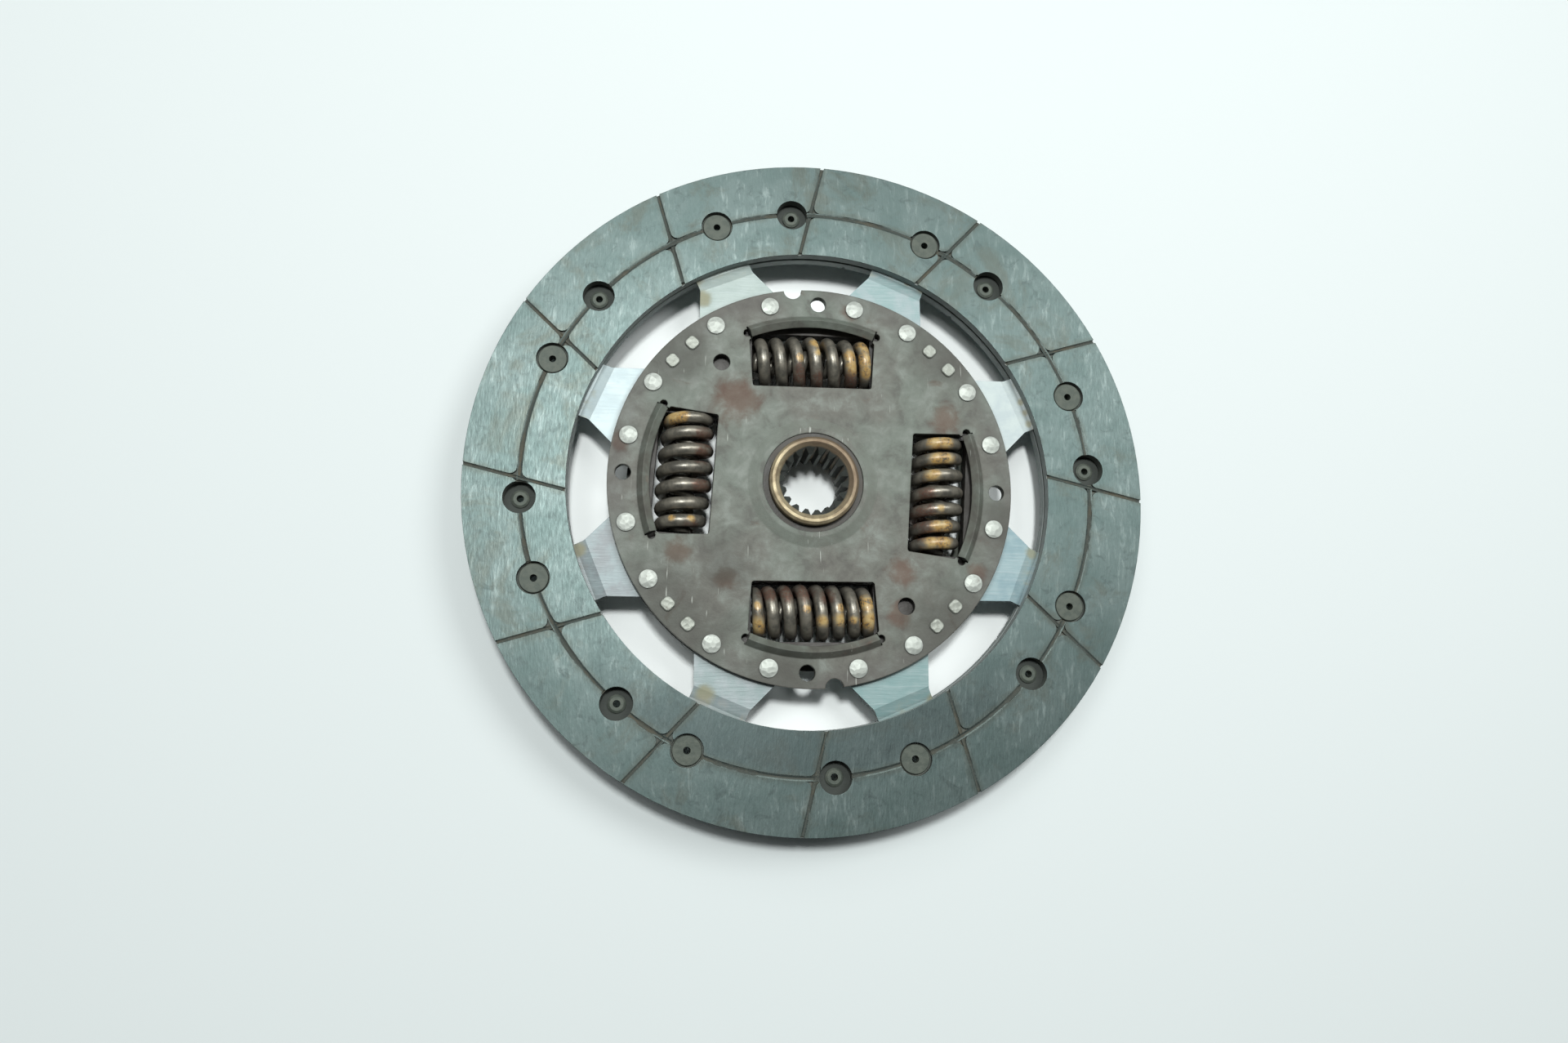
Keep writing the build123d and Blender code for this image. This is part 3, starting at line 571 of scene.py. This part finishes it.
def washer_finish():
    f = Finish("oxidised_washer", metallic=0.12)
    big = f.noise(f.place, 22, 3, 0.55)
    cloud = f.noise(f.place, 6, 5, 0.62, 0.3)
    grain = f.noise(f.place, 0.7, 3, 0.65)

    # Oxide, rust, darker patches and scratches on the sheet
    colour = f.blend(f.rise(big, 0.35, 0.65), GREEN_OXIDE, BROWN_OXIDE)
    colour = f.blend(f.rise(cloud, 0.46, 0.75), colour, PALE_OXIDE)
    colour = f.coat(colour, f.rise(cloud, 0.5, 0.3), 0.55, DARK_CLOUD)
    rust = f.either(f.spots(RUST_MARKS, cloud), f.rise(f.noise(f.place, 9, 4, 0.6, 0.6), 0.62, 0.8))
    colour = f.coat(colour, rust, 0.40, OLD_RUST)
    rim = f.both(f.rise(f.radius, 55.5, 62), f.rise(big, 0.3, 0.6))
    colour = f.coat(colour, rim, 0.45, DULL_RIM)
    # Darker patches at listed places, most of them on the near half of the washer.
    colour = f.coat(colour, f.spots(DARK_PATCH_MARKS, big), 0.72, DARK_PATCH_TONE)
    scratched = f.combed(f.place, 24, (1.0, 0.06, 1.0))
    scratches = f.both(f.rise(f.noise(scratched, 0.8, 1, 0.5, 0.3), 0.71, 0.76),
                       f.rise(f.noise(f.place, 11, 2), 0.52, 0.62))
    colour = f.coat(colour, scratches, 0.8, SCRATCHED_STEEL)

    # Masks by the way the surface faces and by height
    upright = f.calc("ABSOLUTE", f.split(f.normal)[2])
    collar = f.rise(f.radius, 30, 28)
    sloping = f.both(f.rise(upright, 0.999, 0.98), f.rise(upright, 0.5, 0.7), collar)
    # Painted light: the collar's tilted slope is painted lighter to cancel its shading.
    colour = f.coat(colour, sloping, 0.3, SLOPE_PAINTED_LIGHTER)
    cut = f.both(f.rise(upright, 0.5, 0.3), f.rise(f.radius, 54, 52))
    inside = f.both(f.rise(f.z, 7.9, 8.0), f.rise(f.z, 13.7, 13.6))
    # Painted shade with grease: the cut walls of the windows and the sheet between the washers are
    # painted near black.
    colour = f.blend(f.either(cut, inside), colour, GREASE_AND_SHADE)
    # Grime and painted shade darken the corners.
    colour = f.coat(colour, f.grime_and_shade(1.6), 0.85, CORNER_GRIME_AND_SHADE)

    roughness = f.calc("ADD", f.between(cloud, 0.68, 0.50), f.between(rust, 0.0, 0.2))
    return f.surface(colour, roughness, f.heap(cloud, 0.6, grain, 0.4), 0.14, 0.5)


dress(washer_finish(), "front_guide_washer", "rear_guide_washer")
print("washers dressed,", len(RUST_MARKS), "rust marks")

# %% [markdown]
# ## Bright rivets and tenons
# The rivets' domes and the spacers' peened tenons were hammered last and stayed bright. Their look
# is one of small facets, so a coarse cell noise tilts the surface a little here and there, and the
# skirt of each head is darkened by grime and painted shade.

# %% Hammered finish
def hammered_finish(name, bright, grimy):
    f = Finish(name, metallic=0.45)
    blows = f.flecks(f.place, 1.6)
    stain = f.noise(f.place, 2.4, 4, 0.65)
    colour = f.blend(f.rise(stain, 0.58, 0.78), bright, grimy)
    # Grime and painted shade darken the skirt of each head.
    colour = f.coat(colour, f.grime_and_shade(0.8), 0.9, (0.06, 0.055, 0.05))
    height = f.heap(blows, 0.8, stain, 0.3)
    return f.surface(colour, f.between(stain, 0.42, 0.62), height, 0.2, 0.25)


hammered_rivet = hammered_finish("hammered_rivet", (0.42, 0.445, 0.41), (0.25, 0.245, 0.215))
peened_spacer = hammered_finish("peened_spacer", (0.29, 0.305, 0.27), (0.17, 0.16, 0.135))
dress(hammered_rivet, "segment_rivets")
dress(peened_spacer, *[f"stop_spacer_{k}" for k in range(1, 5)])
print("rivets and spacers dressed")

# %% [markdown]
# ## Cushion segments
# The segments are thin hardened spring steel. Hardening leaves temper colours, from straw over
# lilac to light blue, and no two segments match. One recipe takes two tints and a stain for each
# segment. Fine lines across the strip come from rolling, brown stains sit where dust from the
# facing met oil, the corners are darkened by grime and painted shade, and the part that the facings
# cover is painted dark as the shade under them.

# %% Segment finishes
FIRST_SEGMENT = 22.4      # degrees to the middle of the first one; the others follow every 45
SEGMENT_TINTS = [
    ((0.45, 0.51, 0.50), (0.39, 0.45, 0.46),
     [(73.4, 18.3, 1.6), (72.3, 22.1, 1.8), (71, 25.9, 1.8), (69.6, 29.5, 1.6)]),
    ((0.22, 0.32, 0.32), (0.28, 0.35, 0.36), [(38, 68, 3), (33, 70, 2)]),
    ((0.29, 0.35, 0.33), (0.33, 0.39, 0.37), [(-36, 61, 4)]),
    ((0.43, 0.51, 0.52), (0.38, 0.46, 0.48), [(-73, 18, 3)]),
    ((0.24, 0.29, 0.30), (0.20, 0.22, 0.23), [(-72, -22, 3)]),
    ((0.23, 0.29, 0.29), (0.29, 0.33, 0.34), [(-33, -66, 4)]),
    ((0.19, 0.30, 0.30), (0.22, 0.32, 0.32), [(38, -67, 3)]),
    ((0.21, 0.31, 0.34), (0.26, 0.36, 0.38), [(71, -21, 3)]),
]
ROLLING_LINE, STRAW_STAIN = (0.48, 0.54, 0.55), (0.33, 0.29, 0.15)
SEGMENT_GRIME_AND_SHADE, SHADE_UNDER_FACING = (0.07, 0.06, 0.05), (0.046, 0.053, 0.047)


def segment_finish(index, tint, other_tint, stains):
    f = Finish(f"tempered_segment_{index}", metallic=0.2)
    outward_angle = FIRST_SEGMENT + 45 * (index - 1)
    lines = f.noise(f.combed(f.place, -outward_angle, (0.12, 1.6, 1.0)), 1.0, 3, 0.6)
    cloud = f.noise(f.place, 7, 4, 0.6)
    colour = f.blend(f.rise(cloud, 0.38, 0.62), tint, other_tint)
    colour = f.coat(colour, f.rise(lines, 0.45, 0.75), 0.25, ROLLING_LINE)
    by_facing = f.both(f.rise(f.radius, 71, 78), f.rise(cloud, 0.52, 0.7))
    stain = f.either(f.spots(stains, cloud), by_facing)
    colour = f.coat(colour, stain, 0.6, STRAW_STAIN)
    # Grime and painted shade darken the corners by the washers.
    colour = f.coat(colour, f.grime_and_shade(2.0), 0.8, SEGMENT_GRIME_AND_SHADE)
    # Painted shade: the part under the facings is painted dark.
    covered = f.rise(f.radius, 76.5, 79.5)
    colour = f.blend(covered, colour, SHADE_UNDER_FACING)
    roughness = f.calc("ADD", f.between(lines, 0.40, 0.54),
                       f.between(f.either(stain, covered), 0.0, 0.3))
    return f.surface(colour, roughness, lines, 0.05, 0.12)


for index, (tint, other_tint, stains) in enumerate(SEGMENT_TINTS, 1):
    dress(segment_finish(index, tint, other_tint, stains), f"cushion_segment_{index}")
print(len(SEGMENT_TINTS), "segments dressed")

# %% [markdown]
# ## Hub and flange
# The hub's end is turned bright and has gone golden brown, with painted shade darkening one side.
# The teeth are grey green with old grease. A mask by radius parts the two, and rings of noise
# stretched round the axis leave the marks of the lathe, painted in a highlight colour. The flange
# and the bushes hardly shine, because they lie in oil, and their very dark colour is oil and
# painted shade from between the washers.

# %% Hub finish
GOLD, BROWN_GOLD, LATHE_HIGHLIGHT_GOLD = (0.57, 0.48, 0.31), (0.31, 0.24, 0.15), (0.64, 0.58, 0.43)
SHADED_GOLD, OUTSIDE_BROWN = (0.21, 0.15, 0.105), (0.16, 0.125, 0.09)
DARK_GREASE, PALE_GREASE = (0.055, 0.063, 0.058), (0.12, 0.13, 0.12)


def hub_finish():
    f = Finish("tarnished_hub", metallic=0.75)
    around = f.join(f.calc("DIVIDE", f.x, f.radius), f.calc("DIVIDE", f.y, f.radius), f.radius)
    turned = f.noise(f.combed(around, 0, (1.5, 1.5, 6.0)), 1.0, 3, 0.6)
    cloud = f.noise(f.place, 4, 4, 0.6)
    gold = f.blend(f.rise(cloud, 0.35, 0.65), GOLD, BROWN_GOLD)
    # Lathe rings painted with a highlight colour.
    gold = f.coat(gold, f.rise(turned, 0.4, 0.7), 0.5, LATHE_HIGHLIGHT_GOLD)
    # Painted shade: the gold is darkened towards one side of the hub.
    slanting = f.calc("ADD", f.calc("MULTIPLY", f.x, 0.7), f.calc("MULTIPLY", f.y, 0.7))
    gold = f.coat(gold, f.rise(slanting, -6, 9), 0.8, SHADED_GOLD)
    grease = f.blend(f.noise(f.place, 1.5, 3), DARK_GREASE, PALE_GREASE)
    ragged_radius = f.calc("ADD", f.radius, f.between(cloud, -0.5, 0.5))
    colour = f.blend(f.rise(ragged_radius, 11.2, 10.6), gold, grease)
    colour = f.coat(colour, f.rise(f.radius, 13.7, 13.95), 0.35, OUTSIDE_BROWN)
    return f.surface(colour, f.between(cloud, 0.5, 0.74), turned, 0.10, 0.25)


dress(hub_finish(), "hub")
print("hub dressed")

# %% Plain steel finishes
def plain_steel_finish(name, light, dark, shine):
    f = Finish(name, metallic=shine)
    cloud = f.noise(f.place, 6, 4, 0.6)
    grain = f.noise(f.place, 0.8, 3, 0.6)
    colour = f.blend(f.rise(cloud, 0.35, 0.65), light, dark)
    # Grime and painted shade darken the corners.
    colour = f.coat(colour, f.grime_and_shade(2.0), 0.85, (0.03, 0.028, 0.025))
    return f.surface(colour, f.between(cloud, 0.42, 0.65), grain, 0.08, 0.2)


PLAIN_STEELS = {
    # The flange and the bushes are painted very dark: oil and oxide, and painted shade from between
    # the washers.
    "flange_oxide_and_shade": ((0.055, 0.05, 0.045), (0.035, 0.03, 0.025), 0.1, ["hub_flange"]),
    "oily_bush_and_shade": ((0.034, 0.031, 0.026), (0.055, 0.046, 0.035), 0.1, ["front_bush", "rear_bush"]),
    "dark_friction_ring": ((0.05, 0.045, 0.04), (0.08, 0.065, 0.05), 0.6, ["friction_ring"]),
    "rolled_spring_plate": ((0.30, 0.31, 0.30), (0.18, 0.15, 0.12), 0.6,
                            ["pressure_plate", "belleville_washer"]),
}
for name, (light, dark, shine, pieces) in PLAIN_STEELS.items():
    dress(plain_steel_finish(name, light, dark, shine), *pieces)
    print(name, "on", ", ".join(pieces))

# %% [markdown]
# ## Coil springs
# Each window holds an outer spring with a smaller one inside, wound the other way. A damper
# spring is closed at both ends, where the last turn lies against its neighbour, and then ground
# flat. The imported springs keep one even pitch, so they are wound again here: a pitch that eases
# in and out is summed along the wire, a ring of points follows it, and the ends are pressed to
# the ground planes. The springs are wound slightly barrel shaped, because the hub turns in
# relation to them and a straight one would cut its window.

# %% The wire's path
SPRING_LENGTH = 37.8
CLOSED_TURNS, EASING_TURNS = 0.75, 0.45     # at each end
CLOSED_PITCH = 1.01       # of closed turns, in wires
GROUND_OFF = 0.35         # of a wire, both ends together
LEAN_ROOM = 0.070         # taken off the radius per millimetre from the middle
LEAN_SPARE = 0.25         # millimetres of it that the window has room for anyway


def wire_path(coil_radius, wire, turns, hand, first_angle, turn_steps):
    """Points along the middle of the wire, and the way out from the coil's axis at each."""
    count = int(turns * turn_steps) + 1
    turn_at = np.linspace(0, turns, count)
    from_end = np.minimum(turn_at, turns - turn_at)
    opened = np.clip((from_end - CLOSED_TURNS + EASING_TURNS / 2) / EASING_TURNS, 0, 1)
    opened = opened * opened * (3 - 2 * opened)
    travel = SPRING_LENGTH - GROUND_OFF * wire
    step = turns / (count - 1)
    shut_length = np.sum((1 - opened)[1:]) * step * wire * CLOSED_PITCH
    pitch = (travel - shut_length) / (np.sum(opened[1:]) * step)
    slope = (1 - opened) * wire * CLOSED_PITCH + opened * pitch
    along = np.concatenate([[0], np.cumsum(slope[1:]) * step]) - travel / 2
    phase = radians(first_angle) + hand * 2 * pi * turn_at
    # Slimmer towards the ends, so that it can lean in the hub's window without cutting its sides
    mean = coil_radius - wire / 2 - np.clip(LEAN_ROOM * np.abs(along) - LEAN_SPARE, 0, None)
    centre = np.stack([mean * np.cos(phase), mean * np.sin(phase), along], 1)
    return centre, np.stack([np.cos(phase), np.sin(phase), np.zeros(count)], 1)


print("springs are", SPRING_LENGTH, "mm long")

# %% The wire's skin
def wire_skin(centre, outward, wire, round_steps):
    """Round wire along a path, cut off flat at both ends of the spring: points and faces."""
    tangent = np.gradient(centre, axis=0)
    tangent /= np.linalg.norm(tangent, axis=1)[:, None]
    sideways = np.cross(tangent, outward)
    sideways /= np.linalg.norm(sideways, axis=1)[:, None]
    outward = np.cross(sideways, tangent)
    ring = np.linspace(0, 2 * pi, round_steps, endpoint=False)[None, :, None]
    around = outward[:, None, :] * np.cos(ring) + sideways[:, None, :] * np.sin(ring)
    points = centre[:, None, :] + wire / 2 * around
    points[:, :, 2] = np.clip(points[:, :, 2], -SPRING_LENGTH / 2, SPRING_LENGTH / 2)
    count = len(centre)
    faces = [(i * round_steps + j, i * round_steps + (j + 1) % round_steps,
              (i + 1) * round_steps + (j + 1) % round_steps, (i + 1) * round_steps + j)
             for i in range(count - 1) for j in range(round_steps)]
    faces += [tuple(range(round_steps))[::-1],
              tuple(range((count - 1) * round_steps, count * round_steps))]
    return points.reshape(-1, 3), faces


print("skin ready")

# %% A spring in its window
SPRING_MIDDLE = 40.4      # from the disc's axis
SPRING_HEIGHT = 10.8      # of its axis above the ground


def wound_spring(name, angle, wire, round_steps, **winding):
    """Closed and ground coil spring lying along the tangent at this angle."""
    points, faces = wire_skin(*wire_path(wire=wire, **winding), wire, round_steps)
    a = radians(angle)
    away, tangent_line = np.array([cos(a), sin(a), 0]), np.array([-sin(a), cos(a), 0])
    down = np.array([0, 0, -1.0])
    middle = away * SPRING_MIDDLE + np.array([0, 0, SPRING_HEIGHT])
    out, low, along = points[:, :1], points[:, 1:2], points[:, 2:]
    placed = (middle + out * away + low * down + along * tangent_line) * MM
    mesh = bpy.data.meshes.new(name)
    mesh.from_pydata([tuple(p) for p in placed], [], faces)
    mesh.polygons.foreach_set("use_smooth", [len(face) == 4 for face in faces])
    mesh.update()
    spring = bpy.data.objects.new(name, mesh)
    bpy.context.collection.objects.link(spring)
    return spring, Vector(tangent_line), Vector(middle * MM)


def seat_spring(spring, node):
    """Gives a spring its place in the model: what it rides on and what it replaces."""
    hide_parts(node)
    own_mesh(spring)
    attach(spring, "springs")


# %% [markdown]
# ## Spring finishes
# The wire is dark oiled steel with brown rust towards the inside. Whoever sorted the springs
# marked them with ochre paint, and what is left of it sits in patches on single coils. Each
# spring gets its own few marks by place; the noise that frays them also lets metal through.

# %% Coil finish
PAINT_MARKS = [
    [(17.2, 45, 4.0), (17.4, 40, 4.2), (17.5, 36.5, 3.0), (12.2, 41, 3.4), (12.8, 38, 3.4),
     (1.2, 45.5, 3.2), (1.6, 42, 2.0), (-4.2, 40, 1.8)],
    [(-44, 20.1, 4.0), (-41.5, 20.1, 3.0), (-44, -12.4, 1.5), (-38, -12.4, 1.7)],
    [(-17.4, -45, 4.0), (-17.6, -39, 1.8), (-2.4, -40, 1.7), (2.6, -43.5, 2.8), (7.8, -43, 3.0),
     (8.2, -39.5, 1.8), (12.2, -43, 1.8), (16.6, -38, 3.8), (17.2, -43, 4.4)],
    [(39, 13.8, 3.6), (42.5, 13.8, 3.6), (39.5, 8.3, 3.6), (43, 8.3, 3.2), (38, 2.9, 3.6),
     (40, -7.9, 1.8), (39, -13.3, 3.0), (41.5, -13.3, 3.0), (37, -18.7, 3.6), (41, -18.7, 4.0)],
]
RUSTY_COILS = [
    [(12, 34, 4), (-4, 35, 4), (2, 34, 3)],
    [(-34, 13, 5), (-35, 8, 4), (-35, -2, 4), (-38, -16, 4)],
    [(-14, -35, 4), (-8, -35, 4), (-3, -35, 4), (4, -36, 3)],
    [(35, -10, 5), (37, -17, 5), (36, -4, 4)],
]
COIL_SHINE = 0.6
DARK_WIRE, PALE_WIRE = (0.155, 0.147, 0.125), (0.285, 0.262, 0.215)
WIRE_GRIME_AND_SHADE, COIL_RUST = (0.022, 0.022, 0.02), (0.23, 0.105, 0.07)
OLD_OCHRE, FRESH_OCHRE = (0.43, 0.255, 0.075), (0.56, 0.41, 0.18)


def coil_finish(name, paint_marks=(), rust_marks=()):
    f = Finish(name, metallic=COIL_SHINE)
    cloud = f.noise(f.place, 3.0, 4, 0.62)
    grain = f.noise(f.place, 0.6, 3, 0.6)
    colour = f.blend(f.rise(cloud, 0.35, 0.65), DARK_WIRE, PALE_WIRE)
    # Grime and painted shade darken the wire where the coils crowd.
    colour = f.coat(colour, f.grime_and_shade(2.0), 0.75, WIRE_GRIME_AND_SHADE)
    if rust_marks:
        rust = f.both(f.spots(rust_marks, cloud), f.rise(grain, 0.25, 0.6))
        colour = f.coat(colour, rust, 0.7, COIL_RUST)
    if paint_marks:
        worn = f.rise(f.calc("ADD", grain, cloud), 0.72, 1.0)
        paint = f.both(f.spots(paint_marks, cloud), worn)
        ochre = f.blend(f.rise(cloud, 0.4, 0.65), OLD_OCHRE, FRESH_OCHRE)
        colour = f.coat(colour, paint, 0.92, ochre)
        f.feed(f.shader.inputs["Metallic"], f.between(paint, COIL_SHINE, 0.0))
    height = f.heap(cloud, 0.6, grain, 0.4)
    return f.surface(colour, f.between(cloud, 0.26, 0.46), height, 0.10, 0.1)


print(sum(map(len, PAINT_MARKS)), "paint marks")

# %% Springs in the four windows
WINDOWS = [                # angle, turns of the outer spring and angle of its first wire end
    (90.0, 6.9, 150.0),
    (176.0, 6.85, 180.0),
    (270.0, 7.6, 190.0),
    (356.0, 7.0, 60.0),
]
OUTER_WINDING = dict(coil_radius=9.0, wire=4.0, hand=1, round_steps=18, turn_steps=36)
INNER_WINDING = dict(coil_radius=4.6, wire=2.4, turns=9.6, hand=-1, first_angle=40.0,
                     round_steps=12, turn_steps=28)

inner_coil = coil_finish("inner_coil")
for k, (angle, turns, first_angle) in enumerate(WINDOWS, 1):
    marked_coil = coil_finish(f"marked_coil_{k}", PAINT_MARKS[k - 1], RUSTY_COILS[k - 1])
    outer, along, middle = wound_spring(f"outer_coil_{k}", angle, turns=turns,
                                        first_angle=first_angle, **OUTER_WINDING)
    outer.data.materials.append(marked_coil)
    seat_spring(outer, f"damper_spring_{k}")
    inner, along, middle = wound_spring(f"inner_coil_{k}", angle, **INNER_WINDING)
    inner.data.materials.append(inner_coil)
    seat_spring(inner, f"inner_spring_{k}")
    print("window", k, "has", len(outer.data.polygons) + len(inner.data.polygons), "faces")
